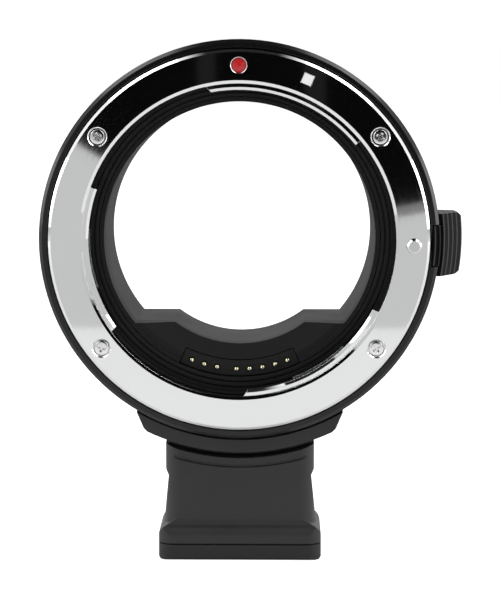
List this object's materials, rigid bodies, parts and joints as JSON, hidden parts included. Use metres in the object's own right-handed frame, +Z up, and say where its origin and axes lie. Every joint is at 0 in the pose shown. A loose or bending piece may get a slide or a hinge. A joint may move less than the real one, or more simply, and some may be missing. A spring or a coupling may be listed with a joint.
{
  "type": "lens mount adapter",
  "caption": "Ring adapter that joins a lens to a camera, with a chrome lens bayonet, sprung contacts, a release slider, a rear claw bayonet and a tripod foot.",
  "frame": {"origin": "mouth of the tripod thread, in the middle of the foot's bottom face", "axes": "+Z up from the foot, +X right as seen from the lens side, +Y from the lens side to the camera side, along the optical axis"},
  "size_m": [0.0724, 0.0284, 0.0904],
  "materials": {
    "black_anodised": "satin black anodised",
    "mount_chrome": "polished chrome plate",
    "screw_steel": "bright steel",
    "screw_black": "blackened steel",
    "spring_steel": "spring steel",
    "pin_steel": "ground steel",
    "red_enamel": "gloss red",
    "white_enamel": "gloss white",
    "slider_black": "satin moulded black",
    "baffle_black": "matte black",
    "baffle_grey": "matte dark grey",
    "contact_plastic": "matte black",
    "contact_gold": "gold plate",
    "board_green": "solder resist",
    "chip_black": "moulded",
    "flex_amber": "polyimide film",
    "foot_black": "satin black",
    "plate_black": "satin black",
    "bush_brass": "turned brass"
  },
  "bodies": {
    "adapter": {"barrel": "black_anodised", "rear_housing": "black_anodised", "lens_mount_ring": "mount_chrome", "lens_mount_screws": "screw_steel", "bayonet_springs": "spring_steel", "red_index_dot": "red_enamel", "white_index_square": "white_enamel", "lock_spring": "spring_steel", "front_baffle": "baffle_black", "rear_baffle": "baffle_grey", "lens_contact_block": "contact_plastic", "contact_spring_1": "spring_steel", "contact_spring_2": "spring_steel", "contact_spring_3": "spring_steel", "contact_spring_4": "spring_steel", "contact_spring_5": "spring_steel", "contact_spring_6": "spring_steel", "contact_spring_7": "spring_steel", "contact_spring_8": "spring_steel", "pin_board": "board_green", "main_board": "board_green", "board_chips": "chip_black", "board_screws": "screw_steel", "flex_cable": "flex_amber", "camera_contact_block": "contact_plastic", "camera_contact_pads": "contact_gold", "camera_mount_ring": "mount_chrome", "camera_mount_screws": "screw_black", "camera_index_dot": "red_enamel", "foot_saddle": "foot_black", "saddle_screws": "screw_steel", "foot_body": "foot_black", "foot_screws": "screw_black", "base_plate": "plate_black", "base_screws": "screw_black", "tripod_bush": "bush_brass"},
    "slider": {"release_slider": "slider_black", "lock_pin": "pin_steel", "pin_clip": "spring_steel"},
    "contact_1": {"contact_pin_1": "contact_gold"},
    "contact_2": {"contact_pin_2": "contact_gold"},
    "contact_3": {"contact_pin_3": "contact_gold"},
    "contact_4": {"contact_pin_4": "contact_gold"},
    "contact_5": {"contact_pin_5": "contact_gold"},
    "contact_6": {"contact_pin_6": "contact_gold"},
    "contact_7": {"contact_pin_7": "contact_gold"},
    "contact_8": {"contact_pin_8": "contact_gold"}
  },
  "joints": [
    {"name": "release_slide", "type": "slide", "parent": "adapter", "child": "slider", "axis": [0, 1, 0], "range_m": [0, 0.0018], "stiffness_N_per_m": 300, "springref_m": -0.003, "deforming": ["lock_spring"]},
    {"name": "contact_slide_1", "type": "slide", "parent": "adapter", "child": "contact_1", "axis": [0, 1, 0], "range_m": [0, 0.0008], "stiffness_N_per_m": 150, "springref_m": -0.001, "deforming": ["contact_spring_1"]},
    {"name": "contact_slide_2", "type": "slide", "parent": "adapter", "child": "contact_2", "axis": [0, 1, 0], "range_m": [0, 0.0008], "stiffness_N_per_m": 150, "springref_m": -0.001, "deforming": ["contact_spring_2"]},
    {"name": "contact_slide_3", "type": "slide", "parent": "adapter", "child": "contact_3", "axis": [0, 1, 0], "range_m": [0, 0.0008], "stiffness_N_per_m": 150, "springref_m": -0.001, "deforming": ["contact_spring_3"]},
    {"name": "contact_slide_4", "type": "slide", "parent": "adapter", "child": "contact_4", "axis": [0, 1, 0], "range_m": [0, 0.0008], "stiffness_N_per_m": 150, "springref_m": -0.001, "deforming": ["contact_spring_4"]},
    {"name": "contact_slide_5", "type": "slide", "parent": "adapter", "child": "contact_5", "axis": [0, 1, 0], "range_m": [0, 0.0008], "stiffness_N_per_m": 150, "springref_m": -0.001, "deforming": ["contact_spring_5"]},
    {"name": "contact_slide_6", "type": "slide", "parent": "adapter", "child": "contact_6", "axis": [0, 1, 0], "range_m": [0, 0.0008], "stiffness_N_per_m": 150, "springref_m": -0.001, "deforming": ["contact_spring_6"]},
    {"name": "contact_slide_7", "type": "slide", "parent": "adapter", "child": "contact_7", "axis": [0, 1, 0], "range_m": [0, 0.0008], "stiffness_N_per_m": 150, "springref_m": -0.001, "deforming": ["contact_spring_7"]},
    {"name": "contact_slide_8", "type": "slide", "parent": "adapter", "child": "contact_8", "axis": [0, 1, 0], "range_m": [0, 0.0008], "stiffness_N_per_m": 150, "springref_m": -0.001, "deforming": ["contact_spring_8"]}
  ]
}
